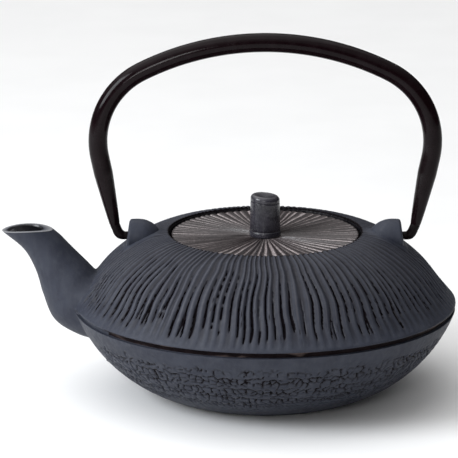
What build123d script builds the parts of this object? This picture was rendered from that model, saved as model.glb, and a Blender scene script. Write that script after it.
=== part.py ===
"""Cast-iron teapot with a swinging bail handle, a loose lid and a lift-out mesh infuser.

Units are millimetres.  The origin is the centre of the flat foot on the surface the pot
stands on, +Z is up and the spout points along -X.
"""

import os
from math import cos
from math import radians
from math import sin

from build123d import *

# ---------------------------------------------------------------- driving dimensions

# Pot casting
wall = 3.2
bowl_arc_centre = (25.6, 59.8)
bowl_arc_radius = 62.4
bowl_edge_z = 37.4
lip_radius = 84.0
lip_bottom_z = 39.6
lip_height = 1.4
band_depth = 1.5
rim_z = 71.7
rim_radius = 42.3
floor_z = 3.6

# Seat for the infuser and the lid
seat_z = 66.0
seat_thickness = 3.0
mouth_radius = 35.5
seat_root_radius = 48.0

# Lugs that carry the bail
pivot_z = 69.4
lug_face_x = 60.2
lug_half_width = 7.0
lug_toe_x = 46.0
lug_toe_half_width = 1.6
lug_bore_radius = 2.1
lug_bore_depth = 8.2

# Spout
spout_side_wall = 1.9
spout_end_wall = 2.5

# Bail handle
bail_top_z = 156.0
bail_top_radius = 119.4
bail_top_half_angle = 26.9
bail_shoulder_radius = 34.9
bail_leg_lean = 11.9
bail_leg_length = 31.0
bail_tube_radius = 4.17
bail_tube_wall = 0.9
bail_taper_length = 23.5
bail_end_radius = 2.3
hook_radius = 1.75
hook_bend_radius = 3.0
hook_press_length = 12.0
pin_tip_x = 53.4

# Lid and knob
lid_radius = 41.1
lid_top_z = 70.2
lid_plate = 2.8
lid_chamfer = 0.6
lid_gap = 0.1
lid_skirt_radius = 32.2
lid_skirt_wall = 1.9
lid_skirt_bottom_z = 61.7
knob_collar_radius = 6.95
knob_collar_height = 2.3
knob_neck_radius = 5.9
knob_foot_radius = 6.65
knob_head_radius = 6.25
knob_top_z = 88.2
knob_slant = 5.0
knob_groove_height = 0.9
knob_top_rounding = 1.0
stud_radius = 2.4
stud_bottom_z = 61.9
stud_hole_radius = 2.6
washer_radius = 5.6
washer_thickness = 0.8
nut_across_flats = 8.0
nut_height = 4.0
nut_chamfer = 0.5

# Infuser
flange_radius = 38.8
flange_thickness = 0.6
neck_radius = 33.6
neck_wall = 0.5
neck_height = 8.0
mesh_wall = 0.6
mesh_gap = 0.05
mesh_depth_in_collar = 6.0
infuser_bottom_z = 20.3
base_ring_height = 3.2
base_ring_wall = 0.4
base_lip_width = 2.6

os.makedirs("parts", exist_ok=True)


# ---------------------------------------------------------------- pot body

def bowl_point(z, inset=0.0):
    """Point at height z on the bowl's arc, moved in by inset."""
    centre_r, centre_z = bowl_arc_centre
    radius = bowl_arc_radius - inset
    return (centre_r + (radius**2 - (centre_z - z) ** 2) ** 0.5, z)


def bowl_middle(first, last, inset=0.0):
    """Point on the bowl's arc halfway between two of its points."""
    return bowl_point((first[1] + last[1]) / 2, inset)


# Shoulder outline from the lip up to the rim, and the line of the inner wall under it
shoulder = [(79.0, 46.3), (70.0, 57.5), (60.0, 65.4), (50.0, 70.2)]
inner_shoulder = [(79.2, 41.0), (67.7, 55.2), (57.5, 62.0)]

# Spout sections from root to mouth: front point, back point (x, z) and half width in Y
spout_sections = [
    ((-68.0, 21.2), (-64.0, 53.0), 15.0),
    ((-83.0, 25.2), (-72.4, 52.4), 14.6),
    ((-93.3, 32.2), (-78.8, 57.8), 12.6),
    ((-97.8, 43.2), (-83.3, 62.2), 10.4),
    ((-101.1, 54.4), (-87.2, 66.6), 8.6),
    ((-105.4, 62.6), (-90.0, 69.6), 7.8),
    ((-115.7, 71.9), (-93.4, 72.7), 7.6),
]


def spout_plane(front, back):
    """Plane across the spout, with its local x running from front to back."""
    middle = ((front[0] + back[0]) / 2, 0, (front[1] + back[1]) / 2)
    along = (back[0] - front[0], 0, back[1] - front[1])
    return Plane(origin=middle, x_dir=along, z_dir=(-along[2], 0, along[0]))


def spout_half_length(front, back):
    """Half the distance between the front and back points of a section."""
    return ((back[0] - front[0]) ** 2 + (back[1] - front[1]) ** 2) ** 0.5 / 2


# The pot is one casting.  Its five regions are separate solids that meet face to face:
# bowl and shoulder at the seam, and the spout and the lugs where they leave the shell.

bowl_start = bowl_point(0.0)
bowl_end = bowl_point(bowl_edge_z)
band_radius = bowl_end[0] - band_depth
lip_top = (lip_radius, lip_bottom_z + lip_height / 2)
seam_z = (bowl_edge_z + lip_bottom_z) / 2

with BuildPart() as pot_outside:
    with BuildSketch(Plane.XZ):
        with BuildLine():
            Polyline((0, rim_z), (0, 0), bowl_start)
            ThreePointArc(bowl_start, bowl_middle(bowl_start, bowl_end), bowl_end)
            Polyline(
                bowl_end,
                (band_radius, bowl_edge_z),
                (band_radius, lip_bottom_z),
                (lip_radius, lip_bottom_z),
                lip_top,
            )
            Spline(lip_top, *shoulder, (rim_radius, rim_z))
            Line((rim_radius, rim_z), (0, rim_z))
        make_face()
    revolve(axis=Axis.Z)

with BuildPart() as pot_inside:
    # Floor, bowl, shoulder, mouth and the recess the lid drops into
    floor_corner = bowl_point(floor_z, wall)
    cavity_widest = bowl_point(bowl_edge_z - 1.0, wall)
    with BuildSketch(Plane.XZ):
        with BuildLine():
            Line((0, floor_z), floor_corner)
            ThreePointArc(floor_corner, bowl_middle(floor_corner, cavity_widest, wall), cavity_widest)
            Spline(cavity_widest, *inner_shoulder, (seat_root_radius, seat_z - seat_thickness))
            Polyline(
                (seat_root_radius, seat_z - seat_thickness),
                (mouth_radius, seat_z - seat_thickness),
                (mouth_radius, seat_z),
                (rim_radius, seat_z),
                (rim_radius, rim_z + 10),
                (0, rim_z + 10),
                (0, floor_z),
            )
        make_face()
    revolve(axis=Axis.Z)

with BuildPart() as spout_channel:
    for front, back, half_width in spout_sections:
        with BuildSketch(spout_plane(front, back)):
            Ellipse(spout_half_length(front, back) - spout_end_wall, half_width - spout_side_wall)
    loft()

with BuildPart() as pin_bores:
    for side in (-1, 1):
        bore_start = (side * (lug_face_x + 1), 0, pivot_z)
        with BuildSketch(Plane(origin=bore_start, x_dir=(0, 1, 0), z_dir=(-side, 0, 0))):
            Circle(lug_bore_radius)
        extrude(amount=lug_bore_depth + 1)

with BuildPart() as pot_bowl:
    add(pot_outside.part)
    split(bisect_by=Plane.XY.offset(seam_z), keep=Keep.BOTTOM)
    add(pot_inside.part, mode=Mode.SUBTRACT)
    add(spout_channel.part, mode=Mode.SUBTRACT)

pot_bowl.part.label = "pot_bowl"
export_step(pot_bowl.part, "parts/pot_bowl.step")

with BuildPart() as pot_shoulder:
    add(pot_outside.part)
    split(bisect_by=Plane.XY.offset(seam_z), keep=Keep.TOP)
    add(pot_inside.part, mode=Mode.SUBTRACT)
    add(spout_channel.part, mode=Mode.SUBTRACT)
    add(pin_bores.part, mode=Mode.SUBTRACT)

pot_shoulder.part.label = "pot_shoulder"
export_step(pot_shoulder.part, "parts/pot_shoulder.step")

with BuildPart() as spout:
    for front, back, half_width in spout_sections:
        with BuildSketch(spout_plane(front, back)):
            Ellipse(spout_half_length(front, back), half_width)
    loft()
    add(pot_outside.part, mode=Mode.SUBTRACT)
    add(spout_channel.part, mode=Mode.SUBTRACT)

spout.part.label = "spout"
export_step(spout.part, "parts/spout.step")


def build_lug(side, name):
    """Rounded ear that rises from the shoulder and tapers towards the rim."""
    # Distance out, radius and centre height, from the face to the toe
    lug_sections = [
        (lug_face_x, lug_half_width, pivot_z - 0.5),
        ((lug_face_x + lug_toe_x) / 2 + 1.4, 0.9 * lug_half_width, pivot_z + 0.3),
        (lug_toe_x, lug_toe_half_width, pivot_z + 0.5),
    ]
    with BuildPart() as lug:
        for x, radius, z in lug_sections:
            with BuildSketch(Plane(origin=(side * x, 0, z), x_dir=(0, 1, 0), z_dir=(side, 0, 0))):
                Circle(radius)
        loft()
        add(pot_outside.part, mode=Mode.SUBTRACT)
        add(pin_bores.part, mode=Mode.SUBTRACT)
    lug.part.label = name
    export_step(lug.part, f"parts/{name}.step")


build_lug(-1, "bail_lug_spout_side")
build_lug(1, "bail_lug_rear")


# ---------------------------------------------------------------- bail handle

def arc_point(centre_x, centre_z, radius, angle):
    """Point on an arc in the XZ plane, with the angle in degrees from +Z towards +X."""
    return (centre_x + radius * sin(radians(angle)), centre_z + radius * cos(radians(angle)))


# Centre line of the +X half, from the middle of the arch down to the end of the leg
leg_turn = 90.0 + bail_leg_lean
arch_centre_z = bail_top_z - bail_top_radius
arch_end = arc_point(0, arch_centre_z, bail_top_radius, bail_top_half_angle)
shoulder_centre = arc_point(0, arch_centre_z, bail_top_radius - bail_shoulder_radius, bail_top_half_angle)
shoulder_middle = arc_point(*shoulder_centre, bail_shoulder_radius, (bail_top_half_angle + leg_turn) / 2)
shoulder_end = arc_point(*shoulder_centre, bail_shoulder_radius, leg_turn)
leg_direction = (cos(radians(leg_turn)), -sin(radians(leg_turn)))


def leg_point(distance):
    """Point on the straight leg, this far down from the end of the shoulder arc."""
    return (shoulder_end[0] + leg_direction[0] * distance, shoulder_end[1] + leg_direction[1] * distance)


def mirrored(point):
    """The same point on the -X side."""
    return (-point[0], point[1])


def leg_plane(distance, side):
    """Plane across the leg on one side, facing down the leg."""
    x, z = leg_point(distance)
    return Plane(
        origin=(side * x, 0, z), x_dir=(0, 1, 0), z_dir=(side * leg_direction[0], 0, leg_direction[1])
    )


taper_start = bail_leg_length - bail_taper_length

with BuildPart() as bail_tube:
    with BuildLine(Plane.XZ) as bail_line:
        Line(mirrored(leg_point(taper_start)), mirrored(shoulder_end))
        ThreePointArc(mirrored(shoulder_end), mirrored(shoulder_middle), mirrored(arch_end))
        ThreePointArc(mirrored(arch_end), (0, bail_top_z), arch_end)
        ThreePointArc(arch_end, shoulder_middle, shoulder_end)
        Line(shoulder_end, leg_point(taper_start))
    with BuildSketch(leg_plane(taper_start, -1)):
        Circle(bail_tube_radius)
    sweep(path=bail_line.wires()[0])
    for side in (-1, 1):
        with BuildSketch(leg_plane(taper_start, side)):
            Circle(bail_tube_radius)
        with BuildSketch(leg_plane(bail_leg_length, side)):
            Circle(bail_end_radius)
        loft()
    # The tube is rolled from strip, so it is hollow down to both ends
    with BuildSketch(leg_plane(taper_start, -1)):
        Circle(bail_tube_radius - bail_tube_wall)
    sweep(path=bail_line.wires()[0], mode=Mode.SUBTRACT)
    for side in (-1, 1):
        with BuildSketch(leg_plane(taper_start, side)):
            Circle(bail_tube_radius - bail_tube_wall)
        with BuildSketch(leg_plane(bail_leg_length, side)):
            Circle(hook_radius)
        loft(mode=Mode.SUBTRACT)

bail_tube.part.label = "bail_tube"
export_step(bail_tube.part, "parts/bail_tube.step")


def build_hook(side, name):
    """Solid hook pressed into one end of the tube and bent inwards into its lug."""
    x, z = leg_point(bail_leg_length - hook_press_length)
    corner_distance = (shoulder_end[1] - pivot_z) / -leg_direction[1]
    corner_x = leg_point(corner_distance)[0]
    with BuildPart() as hook:
        with BuildLine(Plane.XZ) as hook_line:
            FilletPolyline(
                (side * x, z),
                (side * corner_x, pivot_z),
                (side * pin_tip_x, pivot_z),
                radius=hook_bend_radius,
            )
        with BuildSketch(leg_plane(bail_leg_length - hook_press_length, side)):
            Circle(hook_radius)
        sweep(path=hook_line.wires()[0])
    hook.part.label = name
    export_step(hook.part, f"parts/{name}.step")


build_hook(-1, "bail_hook_spout_side")
build_hook(1, "bail_hook_rear")


# ---------------------------------------------------------------- lid

flange_top_z = seat_z + flange_thickness
plate_bottom_z = lid_top_z - lid_plate

with BuildPart() as lid:
    with BuildSketch(Plane.XZ):
        with BuildLine():
            Polyline(
                (stud_hole_radius, lid_top_z),
                (lid_radius - lid_chamfer, lid_top_z),
                (lid_radius, lid_top_z - lid_chamfer),
                (lid_radius, flange_top_z + lid_gap),
                (lid_skirt_radius, flange_top_z + lid_gap),
                (lid_skirt_radius, lid_skirt_bottom_z),
                (lid_skirt_radius - lid_skirt_wall, lid_skirt_bottom_z),
                (lid_skirt_radius - lid_skirt_wall, plate_bottom_z),
                (stud_hole_radius, plate_bottom_z),
                close=True,
            )
        make_face()
    revolve(axis=Axis.Z)

lid.part.label = "lid"
export_step(lid.part, "parts/lid.step")

with BuildPart() as lid_knob:
    groove_z = lid_top_z + knob_collar_height + knob_groove_height
    with BuildSketch(Plane.XZ):
        with BuildLine():
            Polyline(
                (0, stud_bottom_z),
                (stud_radius, stud_bottom_z),
                (stud_radius, lid_top_z),
                (knob_collar_radius, lid_top_z),
                (knob_collar_radius, lid_top_z + knob_collar_height),
                (knob_neck_radius, groove_z),
                (knob_foot_radius, groove_z + knob_groove_height),
                (knob_head_radius, knob_top_z + 1),
                (0, knob_top_z + 1),
                close=True,
            )
        make_face()
    revolve(axis=Axis.Z)
    top_direction = (sin(radians(knob_slant)), 0, cos(radians(knob_slant)))
    split(bisect_by=Plane(origin=(0, 0, knob_top_z - 0.5), z_dir=top_direction), keep=Keep.BOTTOM)
    fillet(lid_knob.edges().group_by(Axis.Z)[-1], radius=knob_top_rounding)

lid_knob.part.label = "lid_knob"
export_step(lid_knob.part, "parts/lid_knob.step")

with BuildPart() as knob_washer:
    with BuildSketch(Plane.XY.offset(plate_bottom_z - washer_thickness)):
        Circle(washer_radius)
        Circle(stud_hole_radius, mode=Mode.SUBTRACT)
    extrude(amount=washer_thickness)

knob_washer.part.label = "knob_washer"
export_step(knob_washer.part, "parts/knob_washer.step")

with BuildPart() as knob_nut:
    with BuildSketch(Plane.XY.offset(plate_bottom_z - washer_thickness - nut_height)):
        RegularPolygon(radius=nut_across_flats / 2, side_count=6, major_radius=False)
        Circle(stud_radius, mode=Mode.SUBTRACT)
    extrude(amount=nut_height)
    chamfer(knob_nut.faces().sort_by(Axis.Z)[0].outer_wire().edges(), length=nut_chamfer)

knob_nut.part.label = "knob_nut"
export_step(knob_nut.part, "parts/knob_nut.step")


# ---------------------------------------------------------------- infuser

neck_bottom_z = flange_top_z - neck_height
mesh_outer_radius = neck_radius - neck_wall - mesh_gap
mesh_inner_radius = mesh_outer_radius - mesh_wall
ring_inner_radius = mesh_outer_radius + mesh_gap
floor_mesh_z = infuser_bottom_z + base_ring_wall + mesh_gap
wall_bottom_z = floor_mesh_z + mesh_wall + mesh_gap
mesh_top_z = neck_bottom_z + mesh_depth_in_collar

with BuildPart() as infuser_collar:
    with BuildSketch(Plane.XZ):
        with BuildLine():
            Polyline(
                (neck_radius - neck_wall, neck_bottom_z),
                (neck_radius, neck_bottom_z),
                (neck_radius, seat_z),
                (flange_radius, seat_z),
                (flange_radius, flange_top_z),
                (neck_radius - neck_wall, flange_top_z),
                close=True,
            )
        make_face()
    revolve(axis=Axis.Z)

infuser_collar.part.label = "infuser_collar"
export_step(infuser_collar.part, "parts/infuser_collar.step")

with BuildPart() as infuser_wall:
    with BuildSketch(Plane.XY.offset(wall_bottom_z)):
        Circle(mesh_outer_radius)
        Circle(mesh_inner_radius, mode=Mode.SUBTRACT)
    extrude(amount=mesh_top_z - wall_bottom_z)

infuser_wall.part.label = "infuser_wall"
export_step(infuser_wall.part, "parts/infuser_wall.step")

with BuildPart() as infuser_floor:
    with BuildSketch(Plane.XY.offset(floor_mesh_z)):
        Circle(mesh_outer_radius)
    extrude(amount=mesh_wall)

infuser_floor.part.label = "infuser_floor"
export_step(infuser_floor.part, "parts/infuser_floor.step")

with BuildPart() as infuser_base_ring:
    with BuildSketch(Plane.XZ):
        with BuildLine():
            Polyline(
                (ring_inner_radius - base_lip_width, infuser_bottom_z),
                (ring_inner_radius + base_ring_wall, infuser_bottom_z),
                (ring_inner_radius + base_ring_wall, infuser_bottom_z + base_ring_height),
                (ring_inner_radius, infuser_bottom_z + base_ring_height),
                (ring_inner_radius, infuser_bottom_z + base_ring_wall),
                (ring_inner_radius - base_lip_width, infuser_bottom_z + base_ring_wall),
                close=True,
            )
        make_face()
    revolve(axis=Axis.Z)

infuser_base_ring.part.label = "infuser_base_ring"
export_step(infuser_base_ring.part, "parts/infuser_base_ring.step")
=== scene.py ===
"""Looks of the cast-iron teapot: enamelled casting, ridged lid, bail handle and mesh infuser.

Lengths are written in millimetres and turned into metres when a mesh is made.
"""

from math import cos, pi, radians, sin, tau

import bpy
import numpy as np
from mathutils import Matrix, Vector
from mathutils.bvhtree import BVHTree


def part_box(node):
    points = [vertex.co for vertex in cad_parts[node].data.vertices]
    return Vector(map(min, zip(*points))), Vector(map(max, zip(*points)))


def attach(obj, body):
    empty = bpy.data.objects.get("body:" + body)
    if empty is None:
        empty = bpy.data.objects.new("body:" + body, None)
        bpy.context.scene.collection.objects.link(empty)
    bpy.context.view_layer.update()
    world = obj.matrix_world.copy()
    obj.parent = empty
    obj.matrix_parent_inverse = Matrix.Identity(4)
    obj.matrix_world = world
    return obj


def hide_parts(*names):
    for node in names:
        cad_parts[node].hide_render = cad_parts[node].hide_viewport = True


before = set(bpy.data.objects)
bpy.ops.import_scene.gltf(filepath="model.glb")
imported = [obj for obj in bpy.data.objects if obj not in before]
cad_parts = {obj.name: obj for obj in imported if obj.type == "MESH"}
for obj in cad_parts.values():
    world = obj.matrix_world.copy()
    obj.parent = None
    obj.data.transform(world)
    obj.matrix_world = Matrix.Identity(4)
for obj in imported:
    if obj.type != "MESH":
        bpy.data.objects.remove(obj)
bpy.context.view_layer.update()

MM = 0.001


def box_mm(node):
    """Lowest and highest corners of a CAD node, in millimetres."""
    low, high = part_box(node)
    return low / MM, high / MM


# ---------------------------------------------------------------- sizes

shoulder_high = box_mm("pot_shoulder")[1]
lug_low, lug_high = box_mm("bail_lug_rear")
lid_low, lid_high = box_mm("lid")
knob_low, knob_high = box_mm("lid_knob")
bail_high = box_mm("bail_tube")[1]
hook_low = box_mm("bail_hook_rear")[0]
collar_high = box_mm("infuser_collar")[1]
mesh_low, mesh_high = box_mm("infuser_wall")
mesh_floor_low, mesh_floor_high = box_mm("infuser_floor")

# Pot casting
wall = 3.2
bowl_arc_centre = (25.6, 59.8)
bowl_arc_radius = 62.4
band_bottom_z = 37.4
band_top_z = 39.6
band_depth = 1.5
band_lacquer_end = 47.0
lip_radius = shoulder_high.x
rim_z = shoulder_high.z
rim_radius = 42.3
seat_z = collar_high.z - 0.6
mouth_radius = 35.5
seat_bottom_z = 63.0
floor_z = 3.6
shoulder = [(79.0, 46.3), (70.0, 57.5), (60.0, 65.4), (50.0, 70.2)]
inner_shoulder = [(79.2, 41.0), (67.7, 55.2), (57.5, 62.0), (48.0, seat_bottom_z)]

# Spout sections from root to mouth: front point, back point (x, z) and half width
spout_sections = [
    (-68.0, 21.2, -64.0, 47.7, 15.6),
    (-83.0, 25.2, -72.9, 52.0, 15.4),
    (-93.3, 32.2, -79.1, 58.2, 13.2),
    (-97.8, 43.2, -83.2, 62.4, 10.6),
    (-101.1, 54.4, -87.2, 66.6, 8.7),
    (-105.4, 62.6, -90.0, 69.6, 7.8),
    (-115.7, 71.8, -93.4, 72.4, 7.6),
]
spout_wall_sides = 1.8
spout_wall_front = 2.9
spout_wall_back = 4.4
spout_root_z = 37.6
spout_blend_sides = 9.0
spout_blend_ends = 1.2
lug_blend = 4.5
mouth_side_rise = 0.9

# Relief: flutes on the shoulder, cracked bark on the bowl
flute_count = 122
flute_depth = 0.40
slot_depth = 0.85
dash_depth = 0.35
hairline_depth = 0.12
bark_columns = 146
bark_row_height = 2.4
crack_depth = 0.50
pillow_depth = 0.14
groove_shade_threshold = 0.62

# Lugs
pivot_z = 69.4
lug_bore_radius = 2.1
lug_bore_end_x = 52.0

# Bail
bail_tube_radius = 4.17
bail_tube_wall = 0.9
bail_top_z = bail_high.z - bail_tube_radius
bail_top_radius = 119.4
bail_top_half_angle = 26.9
bail_shoulder_radius = 34.9
bail_leg_lean = 11.9
bail_leg_length = 31.0
bail_taper_length = 23.5
bail_end_radius = 2.2
hook_bend_radius = 3.6
hook_inset = 1.0
hook_press_length = 12.0
hook_thick_radius = 2.15
hook_pin_radius = 1.8
pin_tip_x = hook_low.x

# Lid and knob
lid_radius = lid_high.x
lid_top_z = lid_high.z
lid_skirt_bottom_z = lid_low.z
lid_plate = 2.8
lid_dish = 0.8
lid_skirt_radius = 32.2
lid_skirt_wall = 1.9
stud_hole_radius = 2.6
knob_collar_radius = knob_high.x
knob_collar_height = 2.3
knob_slant = 5.0
knob_top_z = 88.2
stud_radius = 2.4
lid_ridge_count = 71
lid_ridge_height = 0.46

rng = np.random.default_rng(20)


# ---------------------------------------------------------------- curves and noise

def smoothstep(low, high, value):
    """0 below low, 1 above high and smooth between."""
    t = np.clip((value - low) / (high - low), 0, 1)
    return t * t * (3 - 2 * t)


def smooth_curve(points, step):
    """Points every step or so along a smooth curve through the given points."""
    points = np.array(points, float)
    gaps = np.linalg.norm(np.diff(points, axis=0), axis=1)
    knots = np.concatenate([[0], np.cumsum(gaps)])
    slopes = np.gradient(points, knots, axis=0)
    at = np.linspace(0, knots[-1], max(2, int(knots[-1] / step) + 1))
    span = np.clip(np.searchsorted(knots, at, "right") - 1, 0, len(gaps) - 1)
    width = gaps[span][:, None]
    t = (at - knots[span])[:, None] / width
    start, end = points[span], points[span + 1]
    leave, arrive = slopes[span] * width, slopes[span + 1] * width
    return (
        (2 * t**3 - 3 * t**2 + 1) * start
        + (t**3 - 2 * t**2 + t) * leave
        + (3 * t**2 - 2 * t**3) * end
        + (t**3 - t**2) * arrive
    )


def rounded(corners, radius, step, closed=False):
    """Polyline through the corners with each one rounded off, with points every step or so."""
    corners = [np.array(c, float) for c in corners]
    count = len(corners)
    points = []
    for i, corner in enumerate(corners):
        if not closed and i in (0, count - 1):
            points.append(corner[None])
            continue
        before, after = corners[i - 1], corners[(i + 1) % count]
        reach_in = min(radius, np.linalg.norm(before - corner) * 0.45)
        reach_out = min(radius, np.linalg.norm(after - corner) * 0.45)
        first = corner + (before - corner) / np.linalg.norm(before - corner) * reach_in
        last = corner + (after - corner) / np.linalg.norm(after - corner) * reach_out
        t = np.linspace(0, 1, 4)[:, None]
        points.append((1 - t) ** 2 * first + 2 * t * (1 - t) * corner + t**2 * last)
    points = np.concatenate(points)
    if closed:
        points = np.concatenate([points, points[:1]])
    filled = []
    for a, b in zip(points[:-1], points[1:]):
        pieces = max(1, int(np.linalg.norm(b - a) / step))
        filled.append(a + (b - a) * np.arange(pieces)[:, None] / pieces)
    if not closed:
        filled.append(points[-1:])
    return np.concatenate(filled)


def wave_noise(turns, along, cells, seed):
    """Smooth noise from -1 to 1 where turns and along cross.  It repeats every turn; along is in cells."""
    rows = int(np.max(along)) + 2
    table = np.random.default_rng(seed).uniform(-1, 1, (cells, rows))
    column = (turns % 1) * cells
    left = column.astype(int) % cells
    right = (left + 1) % cells
    low = along.astype(int)
    u = column - np.floor(column)
    v = along - low
    u = u * u * (3 - 2 * u)
    v = v * v * (3 - 2 * v)
    first = table[left, low] * (1 - u) + table[right, low] * u
    second = table[left, low + 1] * (1 - u) + table[right, low + 1] * u
    return first * (1 - v) + second * v


# ---------------------------------------------------------------- mesh making

def grid_faces(rows, columns, wrap_rows=False):
    """Quads between rows of points that each close on themselves."""
    row = np.arange(rows if wrap_rows else rows - 1)[:, None]
    column = np.arange(columns)[None]
    above = (row + 1) % rows
    beside = (column + 1) % columns
    here, there = row * columns, above * columns
    return np.stack([here + column, here + beside, there + beside, there + column], -1).reshape(-1, 4)


def capped_grid(rings, start_pole, end_pole):
    """Points and faces of a closed skin through rings of points, with a pole at each end."""
    rows, columns = rings.shape[:2]
    points = np.concatenate([rings.reshape(-1, 3), [start_pole], [end_pole]])
    first, last = rows * columns, rows * columns + 1
    column = np.arange(columns)
    beside = (column + 1) % columns
    top = (rows - 1) * columns
    start_fan = np.stack([beside, column, np.full(columns, first)], -1)
    end_fan = np.stack([top + column, top + beside, np.full(columns, last)], -1)
    return points, grid_faces(rows, columns).tolist() + start_fan.tolist() + end_fan.tolist()


def make_object(name, points, faces, materials=()):
    """Object from points in millimetres."""
    mesh = bpy.data.meshes.new(name)
    mesh.from_pydata(np.asarray(points) * MM, [], faces)
    for material in materials:
        mesh.materials.append(material)
    mesh.shade_smooth()
    item = bpy.data.objects.new(name, mesh)
    bpy.context.scene.collection.objects.link(item)
    return item


def finish_piece(item, body, slot, *nodes, sharp_angle=40):
    """Sharp edges, body and the CAD nodes that the piece stands for. The slot argument is not used."""
    item.data.set_sharp_from_angle(angle=radians(sharp_angle))
    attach(item, body)
    if nodes:
        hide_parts(*nodes)
    return item


def profile_normals(profile):
    """Unit normals on the right-hand side of a profile of (r, z) points."""
    along = np.gradient(profile, axis=0)
    along /= np.linalg.norm(along, axis=1)[:, None]
    return np.stack([along[:, 1], -along[:, 0]], -1)


def lathe(profile, columns, depth=None):
    """Rings of points round Z from a profile, sunk by depth (rows, columns) along its normals."""
    angle = np.arange(columns) * tau / columns
    if depth is None:
        depth = np.zeros((len(profile), 1))
    normal = profile_normals(profile)
    radius = profile[:, :1] - depth * normal[:, :1]
    height = profile[:, 1:] - depth * normal[:, 1:] + 0 * angle
    return np.stack([radius * np.cos(angle), radius * np.sin(angle), height], -1)


def solid_lathe(name, profile, columns, depth=None, materials=()):
    """Closed solid of revolution from a profile that starts and ends on the axis."""
    rings = lathe(profile, columns, depth)[1:-1]
    start = (0, 0, profile[0, 1])
    end = (0, 0, profile[-1, 1])
    points, faces = capped_grid(rings, start, end)
    return make_object(name, points, faces, materials)


def ring_lathe(name, profile, columns, depth=None, materials=()):
    """Closed ring of revolution from a closed profile."""
    rings = lathe(profile, columns, depth)
    faces = grid_faces(len(profile), columns, wrap_rows=True)
    return make_object(name, rings.reshape(-1, 3), faces.tolist(), materials)


def tube_rings(path, radius, sides, across):
    """Rings of points round a path.  across is the direction that every ring's plane holds."""
    path = np.asarray(path, float)
    along = np.gradient(path, axis=0)
    along /= np.linalg.norm(along, axis=1)[:, None]
    across = np.broadcast_to(np.asarray(across, float), path.shape)
    out = np.cross(across, along)
    out /= np.linalg.norm(out, axis=1)[:, None]
    across = np.cross(along, out)
    angle = np.arange(sides) * tau / sides
    if np.ndim(radius) == 1:
        radius = np.reshape(radius, (-1, 1))
    radius = np.broadcast_to(radius, (len(path), sides))
    return (
        path[:, None]
        + out[:, None] * (radius * np.cos(angle))[..., None]
        + across[:, None] * (radius * np.sin(angle))[..., None]
    )


def combine(target, tool, operation):
    """Boolean of two closed objects.  The tool is used up."""
    modifier = target.modifiers.new(operation, "BOOLEAN")
    modifier.object = tool
    modifier.operation = operation
    modifier.solver = "MANIFOLD"
    modifier.material_mode = "TRANSFER"
    depsgraph = bpy.context.evaluated_depsgraph_get()
    mesh = bpy.data.meshes.new_from_object(target.evaluated_get(depsgraph))
    target.modifiers.clear()
    target.data = mesh
    bpy.data.objects.remove(tool)


def mesh_points(item):
    """The mesh's points in millimetres."""
    flat = np.zeros(len(item.data.vertices) * 3, np.float32)
    item.data.vertices.foreach_get("co", flat)
    return flat.reshape(-1, 3).astype(float) / MM


def store(item, name, values):
    """A named value for each point, for the material to read."""
    attribute = item.data.attributes.new(name, "FLOAT", "POINT")
    attribute.data.foreach_set("value", np.asarray(values, np.float32).ravel())


# ---------------------------------------------------------------- materials

def mix_colours(nodes, links, factor, first, second):
    """Node that mixes two colours, each a link or a plain value, by a linked factor."""
    node = nodes.new("ShaderNodeMix")
    node.data_type = "RGBA"
    links.new(factor, node.inputs["Factor"])
    for socket, value in ((node.inputs[6], first), (node.inputs[7], second)):
        if isinstance(value, bpy.types.NodeSocket):
            links.new(value, socket)
        else:
            socket.default_value = (*value, 1)
    return node.outputs[2]


def map_range(nodes, links, value, limits, kind="LINEAR"):
    """A linked value mapped from one range to another.  limits is (low, high, low out, high out)."""
    node = nodes.new("ShaderNodeMapRange")
    node.interpolation_type = kind
    for socket, limit in zip(("From Min", "From Max", "To Min", "To Max"), limits):
        node.inputs[socket].default_value = limit
    links.new(value, node.inputs["Value"])
    return node.outputs["Result"]


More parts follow.
